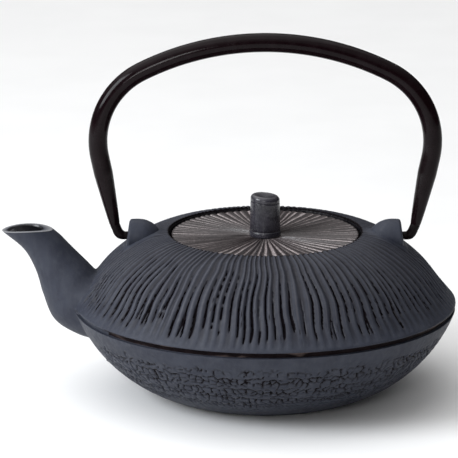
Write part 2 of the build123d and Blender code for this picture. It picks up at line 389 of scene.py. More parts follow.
class Surface:
    """A node material in the making, with a few short ways to add its nodes."""

    def __init__(self, name, **constants):
        self.material = bpy.data.materials.new(name)
        self.material.use_nodes = True
        self.nodes = self.material.node_tree.nodes
        self.links = self.material.node_tree.links
        self.shader = self.nodes["Principled BSDF"]
        for socket, value in constants.items():
            self.shader.inputs[socket.replace("_", " ")].default_value = value
        self.place = self.nodes.new("ShaderNodeTexCoord").outputs["Object"]
        self.height = None

    def scaled(self, x, y, z):
        """The object's coordinates stretched by a factor along each axis."""
        node = self.nodes.new("ShaderNodeMapping")
        node.inputs["Scale"].default_value = (x, y, z)
        self.links.new(self.place, node.inputs["Vector"])
        return node.outputs["Vector"]

    def noise(self, size, detail=3.0, distortion=0.0, place=None):
        """Noise with features of about size millimetres."""
        node = self.nodes.new("ShaderNodeTexNoise")
        node.inputs["Scale"].default_value = 1 / (size * MM)
        node.inputs["Detail"].default_value = detail
        node.inputs["Distortion"].default_value = distortion
        self.links.new(place or self.place, node.inputs["Vector"])
        return node.outputs["Fac"]

    def value(self, name):
        """A value stored on the mesh's points."""
        node = self.nodes.new("ShaderNodeAttribute")
        node.attribute_name = name
        return node.outputs["Fac"]

    def ramp(self, factor, low, high, low_out=0.0, high_out=1.0):
        """A linked value mapped smoothly from one range to another, and held at its ends."""
        return map_range(self.nodes, self.links, factor, (low, high, low_out, high_out), "SMOOTHSTEP")

    def math(self, operation, first, second):
        """Two values combined, each a link or a number."""
        node = self.nodes.new("ShaderNodeMath")
        node.operation = operation
        for socket, value in zip(node.inputs, (first, second)):
            if isinstance(value, bpy.types.NodeSocket):
                self.links.new(value, socket)
            else:
                socket.default_value = value
        return node.outputs[0]

    def mix(self, factor, first, second):
        return mix_colours(self.nodes, self.links, factor, first, second)

    def colour(self, source):
        self.links.new(source, self.shader.inputs["Base Color"])

    def roughness(self, source):
        self.links.new(source, self.shader.inputs["Roughness"])

    def mottled(self, size, detail, first, second, low=0.35, high=0.65):
        """Two colours that drift into each other over patches of about size millimetres."""
        return self.mix(self.ramp(self.noise(size, detail), low, high), first, second)

    def rough_patches(self, size, detail, low, high):
        """Roughness that wanders from low to high over patches of about size millimetres."""
        self.roughness(self.ramp(self.noise(size, detail), 0.3, 0.7, low, high))

    def grain(self, size, detail, depth, strength):
        """Fine relief with features of about size millimetres."""
        self.bump(self.noise(size, detail), depth, strength)

    def bump(self, source, depth, strength=1.0):
        """Fine relief of about depth millimetres, on top of any added before."""
        node = self.nodes.new("ShaderNodeBump")
        node.inputs["Strength"].default_value = strength
        node.inputs["Distance"].default_value = depth * MM
        self.links.new(source, node.inputs["Height"])
        if self.height is not None:
            self.links.new(self.height, node.inputs["Normal"])
        self.height = node.outputs["Normal"]
        self.links.new(self.height, self.shader.inputs["Normal"])


def pot_enamel():
    """Blue-grey matte enamel with painted shade in the slots, cracks and troughs (partly enamel pooled
    there), painted highlights on the crests, and a spout rim painted lighter as wear and as a highlight.
    """
    s = Surface("pot_enamel", Specular_IOR_Level=0.25)
    mottle = s.noise(9.0, 4.0, 0.4)
    streaks = s.noise(1.6, 3.0, place=s.scaled(1, 1, 0.25))
    base = s.mix(s.ramp(mottle, 0.35, 0.65), (0.022, 0.025, 0.038), (0.030, 0.034, 0.049))
    base = s.mix(s.ramp(streaks, 0.4, 0.75, 0.0, 0.35), base, (0.046, 0.049, 0.061))
    # Painted highlight: the crests of the flutes and the tops of the bark pillows are lightened
    base = s.mix(s.ramp(s.value("ridge"), 0.0, 1.0, 0.0, 0.35), base, (0.090, 0.086, 0.096))
    # Spout rim lightened, partly as wear and partly as a painted highlight on its edge
    base = s.mix(s.value("rim_wear_and_highlight"), base, (0.22, 0.22, 0.23))
    # Painted shade: slots, cracks, troughs and rim darkened to near black, partly as enamel pooled there
    s.colour(s.mix(s.value("pool_and_shade"), base, (0.0045, 0.0025, 0.0040)))
    rough = s.ramp(s.noise(2.2, 4.0), 0.3, 0.7, 0.50, 0.64)
    s.roughness(s.math("SUBTRACT", rough, s.ramp(s.value("pool_and_shade"), 0.1, 1.0, 0.0, 0.12)))
    s.grain(1.3, 3.0, 0.10, 0.8)
    s.grain(0.45, 2.0, 0.035, 0.8)
    return s.material


def groove_shade_enamel():
    """Near-black painted shade for the slots, cracks and rim, partly thick enamel pooled there, that gives
    back hardly any light.
    """
    s = Surface("groove_shade_enamel", Specular_IOR_Level=0.06)
    s.colour(s.mottled(5.0, 3.0, (0.0018, 0.0010, 0.0016), (0.0060, 0.0040, 0.0060)))
    s.rough_patches(1.5, 3.0, 0.55, 0.75)
    s.grain(0.6, 3.0, 0.05, 0.8)
    return s.material


def band_lacquer_and_painted_light():
    """Brown-black lacquer in the seam band, with painted highlight streaks in places; its faces also carry
    the painted shade under the lip.
    """
    s = Surface("band_lacquer_and_painted_light", Specular_IOR_Level=0.03)
    # Painted highlight: lighter streaks along the band
    lightened = s.ramp(s.noise(16.0, 3.0, 0.5, s.scaled(1, 1, 5)), 0.52, 0.68)
    base = s.mottled(5.0, 3.0, (0.004, 0.002, 0.003), (0.010, 0.006, 0.007))
    s.colour(s.mix(lightened, base, (0.070, 0.052, 0.048)))
    s.rough_patches(1.5, 3.0, 0.28, 0.42)
    s.grain(0.8, 3.0, 0.05, 0.8)
    return s.material


def inner_enamel():
    """Glossy black enamel inside the pot."""
    s = Surface("inner_enamel", Specular_IOR_Level=0.5)
    s.colour(s.mottled(12.0, 3.0, (0.006, 0.006, 0.008), (0.016, 0.015, 0.018)))
    s.rough_patches(4.0, 3.0, 0.22, 0.36)
    s.grain(2.5, 3.0, 0.10, 0.7)
    return s.material


def lid_enamel():
    """Dark brown semi-gloss enamel, painted silvery pink along the ridges, partly as rubbed iron and partly
    as a painted highlight, with painted shade in the grooves.
    """
    s = Surface("lid_enamel", Specular_IOR_Level=0.6)
    base = s.mottled(7.0, 3.0, (0.013, 0.007, 0.008), (0.024, 0.015, 0.016))
    # Crest colour: partly rubbed iron, partly a painted highlight
    crest_rub_and_highlight = s.math("MULTIPLY", s.value("ridge"), s.ramp(s.noise(1.1, 4.0), 0.3, 0.6, 0.45, 1.0))
    base = s.mix(crest_rub_and_highlight, base, (0.44, 0.385, 0.385))
    # Painted shade in the grooves between the crests
    s.colour(s.mix(s.value("pool_and_shade"), base, (0.010, 0.007, 0.008)))
    s.rough_patches(2.0, 4.0, 0.26, 0.42)
    s.grain(0.7, 3.0, 0.05, 0.8)
    return s.material


def knob_enamel():
    """Dark blue-black semi-gloss enamel over cast iron."""
    s = Surface("knob_enamel", Specular_IOR_Level=0.5)
    base = s.mottled(4.0, 4.0, (0.014, 0.013, 0.019), (0.025, 0.023, 0.032))
    s.colour(s.mix(s.value("ridge"), base, (0.10, 0.095, 0.105)))
    s.rough_patches(1.5, 4.0, 0.18, 0.32)
    s.grain(1.4, 3.0, 0.08, 0.8)
    return s.material


def bail_satin():
    """Black satin enamel on rolled steel, very slightly uneven."""
    s = Surface("bail_satin", Specular_IOR_Level=0.12)
    s.colour(s.mottled(6.0, 4.0, (0.0042, 0.0012, 0.0020), (0.0066, 0.0030, 0.0040), 0.4))
    s.rough_patches(4.0, 4.0, 0.10, 0.18)
    s.grain(1.2, 2.0, 0.015, 0.6)
    return s.material


def hook_black():
    """Rough black forged rod with rubbed high spots."""
    s = Surface("hook_black", Specular_IOR_Level=0.1)
    spots = s.ramp(s.noise(1.2, 5.0), 0.58, 0.78)
    s.colour(s.mix(spots, (0.0034, 0.0014, 0.0020), (0.010, 0.008, 0.008)))
    s.rough_patches(0.9, 4.0, 0.34, 0.52)
    s.grain(0.9, 4.0, 0.08, 0.8)
    return s.material


def steel(name, grain, low, high, rough_low, rough_high):
    """Stainless steel with fine scratches running the way that grain stretches them."""
    s = Surface(name, Metallic=1.0)
    scratches = s.noise(0.5, 4.0, place=s.scaled(*grain))
    s.colour(s.mix(s.ramp(scratches, 0.3, 0.7), (low, low, low * 0.98), (high, high, high * 0.98)))
    s.rough_patches(3.0, 3.0, rough_low, rough_high)
    s.bump(scratches, 0.01, 0.6)
    return s.material


def floor_paper():
    """Plain pale floor."""
    s = Surface("floor_paper", Specular_IOR_Level=0.2)
    s.colour(s.mottled(60.0, 3.0, (0.93, 0.93, 0.93), (0.95, 0.95, 0.95), 0.3, 0.7))
    s.rough_patches(20.0, 3.0, 0.7, 0.8)
    return s.material


# ---------------------------------------------------------------- pot casting

def bowl_arc(start_z, end_z, step, inset=0.0):
    """Points along the bowl's arc between two heights, moved in by inset."""
    centre_r, centre_z = bowl_arc_centre
    radius = bowl_arc_radius - inset
    first, last = (np.arcsin((z - centre_z) / radius) for z in (start_z, end_z))
    angle = np.linspace(first, last, max(2, int(abs(last - first) * radius / step)))
    return np.stack([centre_r + radius * np.cos(angle), centre_z + radius * np.sin(angle)], -1)


bowl_step = 0.42
shoulder_step = 0.7
bowl = bowl_arc(0.5, band_bottom_z - 0.3, bowl_step)
foot = rounded([(0, 0), bowl_arc(0, 1, 1)[0], bowl[0]], 0.5, 6.0)[:-1]
band_radius = bowl_arc(0, band_bottom_z, 1)[-1, 0] - band_depth
band = rounded(
    [
        bowl[-1],
        (band_radius + band_depth, band_bottom_z),
        (band_radius, band_bottom_z),
        (band_radius, band_top_z),
        (lip_radius, band_top_z),
        (lip_radius, band_top_z + 0.7),
    ],
    0.35,
    0.5,
)[1:-1]
outer_shoulder = smooth_curve(
    [(lip_radius, band_top_z + 0.7), *shoulder, (rim_radius + 1.0, rim_z)], shoulder_step
)
mouth = rounded(
    [
        outer_shoulder[-1],
        (rim_radius, rim_z),
        (rim_radius, seat_z),
        (mouth_radius, seat_z),
        (mouth_radius, seat_bottom_z),
        inner_shoulder[-1],
    ],
    0.8,
    0.9,
)[1:]
inner_bowl = bowl_arc(band_bottom_z - 1.0, floor_z + 2.0, 2.2, wall)
inside = smooth_curve([*reversed(inner_shoulder[:-1]), inner_bowl[0]], 2.2)
floor = smooth_curve([inner_bowl[-1], (38.0, floor_z + 0.3), (32.0, floor_z), (0, floor_z)], 3.0)[1:]
outside = np.concatenate([foot, bowl, band, outer_shoulder])
shell = np.concatenate([outside, mouth, inside[1:], inner_bowl[1:], floor])

columns = 1440
turns = (np.arange(columns) / columns)[None]
angle = turns * tau
# Share of a relief that is left on each of the four rows past its edge
run_out = 1 - np.arange(1, 5)[:, None] / 5


def gaps_to_skin(rings, points, near):
    """Distance of the near points from the skin through the rings, negative inside it; 1000 for the rest."""
    skin, faces = capped_grid(rings, rings[0].mean(0), rings[-1].mean(0))
    tree = BVHTree.FromPolygons(skin.tolist(), faces)

    def signed_gap(point):
        place, normal, _, distance = tree.find_nearest(point)
        return distance if (point - place).dot(normal) > 0 else -distance

    outward = -1 if signed_gap(Vector(rings[len(rings) // 2].mean(0))) > 0 else 1
    gap = np.full(len(points), 1000.0)
    for i in np.flatnonzero(near):
        gap[i] = outward * signed_gap(Vector(points[i]))
    return gap


def swell(gap, reach):
    """How far a skin rises where another one comes closer than reach, so that the two meet in a fillet."""
    return np.clip(reach - np.maximum(gap, 0), 0, None) ** 2 / (4 * reach)


def spout_fillet(flank, z):
    """Reach of the fillet at the spout's root: broad on its flanks above the band, tight elsewhere."""
    return spout_blend_ends + (spout_blend_sides - spout_blend_ends) * flank**2 * smoothstep(36.0, 46.0, z)


def arc_length(profile):
    """Distance along a profile from its first point."""
    return np.concatenate([[0], np.cumsum(np.linalg.norm(np.diff(profile, axis=0), axis=1))])


def uneven_sectors(place, widths):
    """The sector that each place in a turn is in, how far across it is, and the sector's share of a turn."""
    edges = np.concatenate([[0], np.cumsum(widths)]) / widths.sum()
    sector = np.clip(np.searchsorted(edges, place, "right") - 1, 0, len(widths) - 1)
    share = edges[sector + 1] - edges[sector]
    return sector, (place - edges[sector]) / share, share


def flutes():
    """Depth, painted shade (partly enamel pooled in the slots) and painted highlight along the ridges of the
    carved flutes, from the lip up to the rim.
    """
    profile = outer_shoulder[::-1]
    down = arc_length(profile)[:, None]
    length = down[-1, 0]
    radius = profile[:, :1]
    widths = rng.uniform(0.66, 1.34, flute_count)
    sway = wave_noise(turns, down / 15.0, 26, 1) * 1.1 + wave_noise(turns, down / 7.0, 70, 2) * 0.2
    place = (turns + sway * smoothstep(2.0, 14.0, down) / (radius * tau)) % 1
    flute, across, share = uneven_sectors(place, widths)
    half_width = share * radius * tau / 2
    off_middle = (across - 0.5) * 2 * half_width

    # Rounded ridges with a soft trough between them, running out above the lip
    from_trough = np.abs(2 * across - 1)
    trough = smoothstep(0.82, 0.22, from_trough)
    reach = flute_depth - 0.18 * smoothstep(length - 14.0, length - 5.0, down)
    reach = reach - 0.22 * smoothstep(length - 2.5, length - 0.5, down)
    depth = reach * trough

    # Slot down the middle of each trough, with a rounded end above the lip, painted dark as shade and as
    # enamel pooled in it
    start = rng.uniform(0.30, 0.68, flute_count)[flute] * length
    end = length - rng.uniform(3.2, 10.5, flute_count)[flute]
    widest = (0.26 + 0.58 * rng.random(flute_count) ** 1.6)[flute]
    ragged = wave_noise(place, down / 1.1, 720, 3) * 0.09
    grow = smoothstep(start, start + 15.0, down)
    tip = np.sqrt(np.clip((end - down) / 2.6, 0, 1))
    slot_half = (widest * (0.25 + 0.75 * grow) + ragged) * tip * smoothstep(start - 9.0, start + 2.0, down)
    fork = (rng.random(flute_count) < 0.10)[flute] * np.clip((down - end + 13.0) * 0.085, 0, 1.0)
    drift = wave_noise(place, down / 6.0, flute_count, 4) * 0.22
    from_slot = np.abs(np.abs(off_middle - drift) - fork)
    beads = wave_noise(place, down / 1.5, flute_count, 5)
    broken = (rng.random(flute_count) < 0.18)[flute]
    slot_half = np.where(broken, np.minimum(slot_half, 0.28 * tip), slot_half)
    kept = np.where(broken, smoothstep(-0.55, -0.15, beads), 1.0) * (rng.random(flute_count) > 0.06)[flute]
    slot = smoothstep(0.22, -0.18, from_slot - slot_half) * kept * (slot_half > 0.02)

    # Short dashes along some of the ridges, in the lower half, painted dark as shade
    dashed = (rng.random(flute_count) < 0.42)[flute]
    dash_at = rng.uniform(0.5, 0.8, flute_count)[flute] * length
    from_edge = np.minimum(across, 1 - across) * 2 * half_width
    dash_kept = smoothstep(0.0, 0.3, wave_noise(place, down / 1.9, flute_count, 6))
    dash = smoothstep(0.5, 0.1, from_edge) * (across < 0.5) * dashed * dash_kept
    dash = dash * smoothstep(dash_at, dash_at + 2, down) * smoothstep(dash_at + 13, dash_at + 10, down)

    # Fine line that carries each slot on up to the rim, painted dark as shade
    hairline = smoothstep(0.50, 0.1, np.abs(off_middle - drift)) * smoothstep(end, end - 6.0, down)
    shade = trough * (0.78 - 0.34 * smoothstep(16.0, length - 12.0, down))
    shade = shade * smoothstep(length - 1.0, length - 7.0, down)
    # Painted shade: slots, dashes, hairlines and troughs darkened, partly standing for enamel pooled in them
    pool_and_shade = np.clip(np.maximum.reduce([slot, 0.85 * dash, 0.58 * hairline, np.minimum(shade, 0.58)]), 0, 1)
    # Painted highlight: the ridge crests are lightened
    ridge = smoothstep(0.72, 0.98, from_trough) * smoothstep(length - 2.0, length - 18.0, down)
    depth = depth + slot_depth * slot + dash_depth * dash + hairline_depth * hairline
    return depth[::-1], pool_and_shade[::-1], ridge[::-1]


def bark():
    """Depth, painted shade in the cracks (partly enamel pooled in them) and painted highlight on the pillow
    tops of the cracked lower bowl, from the foot up to the band.
    """
    up_to_band = (arc_length(bowl)[-1] - arc_length(bowl))[:, None]
    radius = bowl[:, :1]
    bend_out = wave_noise(turns, up_to_band / 2.4, 170, 11) * 0.8
    bend_down = wave_noise(turns, up_to_band / 2.4, 170, 12) * 0.7
    column = (turns + bend_out / (radius * tau)) % 1 * bark_columns
    row = (up_to_band + bend_down) / bark_row_height + 2
    rows = int(row.max()) + 3
    shift = rng.uniform(0.12, 0.88, (bark_columns, rows, 2))
    home_column, home_row = column.astype(int), row.astype(int)
    pitch = radius * tau / bark_columns
    near = np.full((2, *column.shape), 1e6)
    place = np.zeros((2, 2, *column.shape))
    who = np.zeros((2, *column.shape), int)
    for step_column in (-1, 0, 1):
        for step_row in (-1, 0, 1):
            c = (home_column + step_column) % bark_columns
            r = np.clip(home_row + step_row, 0, rows - 1)
            dx = (home_column + step_column + shift[c, r, 0] - column) * pitch
            dy = (home_row + step_row + shift[c, r, 1] - row) * bark_row_height
            gap = np.hypot(dx, dy)
            me = c * rows + r
            closer = gap < near[0]
            second = ~closer & (gap < near[1])
            near[1] = np.where(closer, near[0], np.where(second, gap, near[1]))
            who[1] = np.where(closer, who[0], np.where(second, me, who[1]))
            place[1] = np.where(closer, place[0], np.where(second, (dx, dy), place[1]))
            near[0] = np.where(closer, gap, near[0])
            who[0] = np.where(closer, me, who[0])
            place[0] = np.where(closer, (dx, dy), place[0])
    between = np.hypot(*(place[0] - place[1]))
    border = (near[1] ** 2 - near[0] ** 2) / (2 * np.maximum(between, 0.3))

    # Some of the borders are left out, so that the cracks stop and start
    pair = (who.min(0) * 7919 + who.max(0) * 104729) % 1009 / 1009
    kept = smoothstep(0.24, 0.30, pair)
    ragged = wave_noise(turns, up_to_band / 3.0, 120, 13)
    patchy = wave_noise(turns, up_to_band / 7.0, 60, 14)
    pinched = wave_noise(turns, up_to_band / 1.3, 400, 15)
    zone = smoothstep(6.0, 9.5, up_to_band + 2.4 * ragged) * smoothstep(42.0, 30.0, up_to_band + 4 * patchy)
    zone = zone * smoothstep(0.05, 0.09, np.abs(turns - 0.5))
    width = 0.38 + 0.10 * ragged + 0.08 * patchy + 0.14 * pinched
    crack = smoothstep(width + 0.20, width - 0.14, border) * kept * zone
    crack = crack * smoothstep(-0.75, -0.30, pinched)
    pillow = smoothstep(0.0, 1.3, border)
    depth = crack_depth * crack + pillow_depth * zone * (1 - pillow)
    # Cracks painted dark as shade, pillow tops painted lighter as a highlight
    return depth, 0.8 * crack, 0.25 * zone * pillow * (1 - crack)


def spout_rings(step, sides, wall_front=0.0, wall_back=0.0, wall_sides=0.0):
    """Rings of the spout from root to mouth, moved in by the given wall."""
    sections = smooth_curve(spout_sections, step)
    front, back, half = sections[:, :2], sections[:, 2:4], sections[:, 4]
    along = back - front
    length = np.linalg.norm(along, axis=1)[:, None]
    front = front + along / length * wall_front
    back = back - along / length * wall_back
    middle, reach = (front + back) / 2, (back - front) / 2
    turn = np.arange(sides) * tau / sides
    x = middle[:, :1] + reach[:, :1] * np.cos(turn)
    z = middle[:, 1:] + reach[:, 1:] * np.cos(turn)
    y = (half[:, None] - wall_sides) * np.sin(turn)
    z = z + mouth_side_rise * np.sin(turn) ** 2 * smoothstep(0.80, 1.0, np.linspace(0, 1, len(z)))[:, None]
    return np.stack([x, y, z], -1)


def face_out(item):
    """The closed object, turned right side out where the volume inside it is negative."""
    points = mesh_points(item)
    item.data.calc_loop_triangles()
    corners = np.zeros(len(item.data.loop_triangles) * 3, np.int32)
    item.data.loop_triangles.foreach_get("vertices", corners)
    a, b, c = (points[corners[i::3]] for i in range(3))
    if (a * np.cross(b, c)).sum() < 0:
        item.data.flip_normals()
    return item


def closed_rings(name, rings, materials=()):
    """Closed solid through rings, with a flat end at each."""
    points, faces = capped_grid(rings, rings[0].mean(0), rings[-1].mean(0))
    return face_out(make_object(name, points, faces, materials))


def shrunk(ring, amount):
    """The ring moved in towards its middle by about amount."""
    middle = ring.mean(0)
    out = ring - middle
    return middle + out * (1 - amount / np.linalg.norm(out, axis=1)[:, None])


def spout_solid():
    """Outside of the spout, swelling towards its root, with a rounded rim painted lighter, partly as wear
    and partly as a painted highlight on its edge.
    """
    sides = 128
    rings = spout_rings(0.8, sides)
    middle = rings.mean(1)[:, None]
    outward = (rings - middle) / np.linalg.norm(rings - middle, axis=2)[..., None]
    flank = np.abs(np.sin(np.arange(sides) * tau / sides))
    skin = np.stack([np.hypot(rings[..., 0], rings[..., 1]), rings[..., 2]], -1)[:, :, None] - outside
    nearest = np.linalg.norm(skin, axis=3).argmin(2)[..., None, None]
    to_nearest = np.take_along_axis(skin, nearest, 2)[:, :, 0]
    to_body = (to_nearest * profile_normals(outside)[nearest[..., 0, 0]]).sum(-1)
    rings = rings + outward * swell(to_body, spout_fillet(flank, rings[..., 2]))[..., None]
    top, below = rings[-1], rings[-2]
    rise = (top - below) / np.linalg.norm(top - below, axis=1)[:, None]
    edge = [top - rise * 0.75, top - rise * 0.3, shrunk(top, 0.12), shrunk(top, 0.5)]
    rings = np.concatenate([rings[:-1], edge])
    spout = closed_rings("spout_outside", rings, (bpy.data.materials["pot_enamel"],))
    # Spout rim lightened: wear and a painted highlight
    rim = np.zeros(len(rings) * sides + 2)
    rim[-3 * sides - 2 :] = 1
    store(spout, "rim_wear_and_highlight", rim)
    return spout


def spout_bore():
    """Channel through the spout, a little wider at the mouth."""
    rings = spout_rings(1.2, 96, spout_wall_front, spout_wall_back, spout_wall_sides)
    top = rings[-1]
    rise = np.array([-0.3, 0.0, 1.0])
    flare = [top - rise * 0.8, shrunk(top, -0.12) - rise * 0.3, shrunk(top, -0.5)]
    rings = np.concatenate([rings[:-1], flare, [shrunk(top, -1.2) + rise * 3]])
    return closed_rings("spout_bore", rings, (bpy.data.materials["inner_enamel"],))


def lug_rings(side):
    """Rings of a rounded ear on the shoulder, with a flat slanted face where the bail's pin goes in."""
    outline = smooth_curve(
        [
            # distance out, top, half width
            (46.2, 71.0, 1.0),
            (47.2, 73.0, 3.2),
            (49.5, 75.0, 5.2),
            (53.0, 76.5, 6.6),
            (57.0, 76.8, 7.0),
            (59.6, 76.7, 7.0),
        ],
        0.45,
    )
    sides = 72
    turn = np.arange(sides) * tau / sides
    bottom = np.interp(outline[:, 0], [45, 50, 61], [67.5, 66.5, 61.8])
    rings = []
    for (out, top, half), low in zip(outline, bottom):
        shoulder_height = top - half
        y = half * np.cos(turn)
        z = np.where(np.sin(turn) > 0, shoulder_height + half * np.sin(turn), 0)
        z = np.where(np.sin(turn) > 0, z, shoulder_height + (shoulder_height - low) * np.sin(turn))
        lean = (pivot_z - z) * 0.14 * smoothstep(54.0, 60.0, out)
        rings.append(np.stack([side * (out + lean), y, z], -1))
    last = rings[-1]
    outward = np.array([side * 1.0, 0, 0])
    for inset, rise in ((0.25, 0.5), (0.75, 0.85), (1.6, 1.0)):
        rings.append(shrunk(last, inset) + outward * rise * 0.9)
    return np.array(rings)


def over_faces(values):
    """Mean of the values at the four corners of each face between two rows."""
    across = (values + np.roll(values, -1, axis=1)) / 2
    return (across[:-1] + across[1:]) / 2


def cast_shell():
    """Lathed body with its flutes, bark and band, hollow inside and open at the mouth."""
    rows = len(shell)
    depth = np.zeros((rows, columns))
    pool_and_shade = np.zeros((rows, columns))
    ridge = np.zeros((rows, columns))
    first_bowl = len(foot)
    first_band = first_bowl + len(bowl)
    first_shoulder = first_band + len(band)
    for first, relief in ((first_bowl, bark()), (first_shoulder, flutes())):
        for total, layer in zip((depth, pool_and_shade, ridge), relief):
            total[first : first + len(layer)] = layer
    # The flutes run over the rounded rim and stop inside it; the rim is painted near-black, as dark enamel
    # and as painted shade
    rim_rows = first_shoulder + len(outer_shoulder)
    depth[rim_rows : rim_rows + 4] = depth[rim_rows - 1] * run_out
    pool_and_shade[rim_rows : rim_rows + 4] = np.maximum(pool_and_shade[rim_rows - 1], 0.8)

    # The skin swells where the spout and the lugs come close, and its relief stops short of them
    x, y = shell[:, :1] * np.cos(angle), shell[:, :1] * np.sin(angle)
    z = shell[:, 1:] + 0 * angle
    points = np.stack([x, y, z], -1).reshape(-1, 3)
    outer_rows = (np.arange(rows) < rim_rows)[:, None] & (turns >= 0)
    by_spout = outer_rows & (x < -50) & (np.abs(y) < 45)
    to_spout = gaps_to_skin(spout_rings(1.0, 96), points, by_spout.ravel()).reshape(rows, -1)
    to_lug = np.full((rows, columns), 1000.0)
    for side in (-1, 1):
        by_lug = outer_rows & (side * x > lug_low.x - 12) & (side * x < lug_high.x + 12) & (np.abs(y) < 20)
        gap = gaps_to_skin(lug_rings(side), points, (by_lug & (z > 50)).ravel())
        to_lug = np.minimum(to_lug, gap.reshape(rows, -1))
    plain = smoothstep(1.0, 5.5, to_spout) * smoothstep(0.4, 3.0, to_lug)
    plain = np.where(outer_rows, plain, 1.0)
    flank = np.abs(y) / np.maximum(np.hypot(y, z - spout_root_z), 0.01)
    rise = swell(to_spout, spout_fillet(flank, z)) + swell(to_lug, lug_blend)

    # The band's recess runs out before it meets the spout, and its lacquer stops well short of it, leaving
    # only a painted shadow line along the top of the recess there
    band_rows = slice(first_band, first_shoulder)
    filled = smoothstep(3.5, 1.0, to_spout)
    recess = np.clip(lip_radius - 0.5 - shell[:, :1], 0, band_depth) * np.abs(profile_normals(shell)[:, :1])
    rise[band_rows] += (recess * filled)[band_rows]
    in_recess = smoothstep(0.4, 1.1, recess)
    beside_spout = smoothstep(band_lacquer_end + 0.5, band_lacquer_end - 0.5, np.abs(y)) * (x < 0)
    shadow_line_under_lip = smoothstep(band_top_z - 0.9, band_top_z - 0.5, z)
    lacquer_and_lip_shade = np.zeros((rows, columns))
    lacquer_and_lip_shade[band_rows] = (in_recess * (1 - beside_spout * (1 - shadow_line_under_lip)) * (1 - filled))[band_rows]
    # The lacquer colour also covers the lip's underside, as painted shade and dark enamel
    under_lip = (shell[:, 1:] > band_top_z - 0.1) & (shell[:, 1:] < band_top_z + 0.5) & outer_rows
    lacquer_and_lip_shade = np.maximum(lacquer_and_lip_shade, under_lip * (1 - beside_spout) * (1 - filled))
    depth = depth * plain - rise

    materials = (pot_enamel(), inner_enamel(), groove_shade_enamel(), band_lacquer_and_painted_light())
    body = solid_lathe("pot_casting", shell, columns, depth, materials)
    for name, values in (("pool_and_shade", pool_and_shade * plain), ("ridge", ridge * plain)):
        store(body, name, np.append(values[1:-1], [0, 0]))
    index = np.zeros((rows - 1, columns), np.int32)
    # Faces deep in painted shade take the near-black groove material
    index[over_faces(pool_and_shade * plain) > groove_shade_threshold] = 2
    index[over_faces(lacquer_and_lip_shade) > 0.5] = 3
    index[rim_rows + 3 :] = 1
    ends = np.repeat([0, 1], columns)
    body.data.polygons.foreach_set("material_index", np.append(index[1 : rows - 2], ends).astype(np.int32))
    return body


def rod(name, start, end, radius, sides=48, materials=()):
    """Round solid between two points in the XZ plane."""
    path = np.linspace(start, end, 3)
    return closed_rings(name, tube_rings(path, radius, sides, (0, 1, 0)), materials)


def core():
    """Everything deeper in the pot than its outer skin."""
    skin = 1.4
    moved = outside - profile_normals(outside) * skin
    keep = (moved[:, 0] > 6.0) & (np.arange(len(moved)) % 4 == 0)
    profile = np.concatenate([[[0, skin]], moved[keep], [[0, rim_z - skin]]])
    return solid_lathe("core", profile, 240)


def build_pot():
    """The casting: body, spout and lugs as one skin, with its channel and pin bores cut."""
    body = cast_shell()
    inner = bpy.data.materials["inner_enamel"]
    enamel = bpy.data.materials["pot_enamel"]
    lugs = [closed_rings("lug", lug_rings(side), (enamel,)) for side in (-1, 1)]
    for tool in (spout_solid(), *lugs):
        combine(tool, core(), "DIFFERENCE")
        combine(body, tool, "UNION")
    combine(body, spout_bore(), "DIFFERENCE")
    for side in (-1, 1):
        ends = [(side * x, 0, pivot_z) for x in (lug_bore_end_x, lug_high.x + 2)]
        combine(body, rod("bore", *ends, lug_bore_radius, materials=(inner,)), "DIFFERENCE")

    nodes = ("pot_bowl", "pot_shoulder", "spout", "bail_lug_spout_side", "bail_lug_rear")
    return finish_piece(body, "pot", "pot_iron", *nodes, sharp_angle=55)


# ---------------------------------------------------------------- lid and knob

def lid_surface_z(radius):
    """Height of the lid's top, which is dished a little towards the knob."""
    return lid_top_z - lid_dish * (1 - (radius / lid_radius) ** 2)


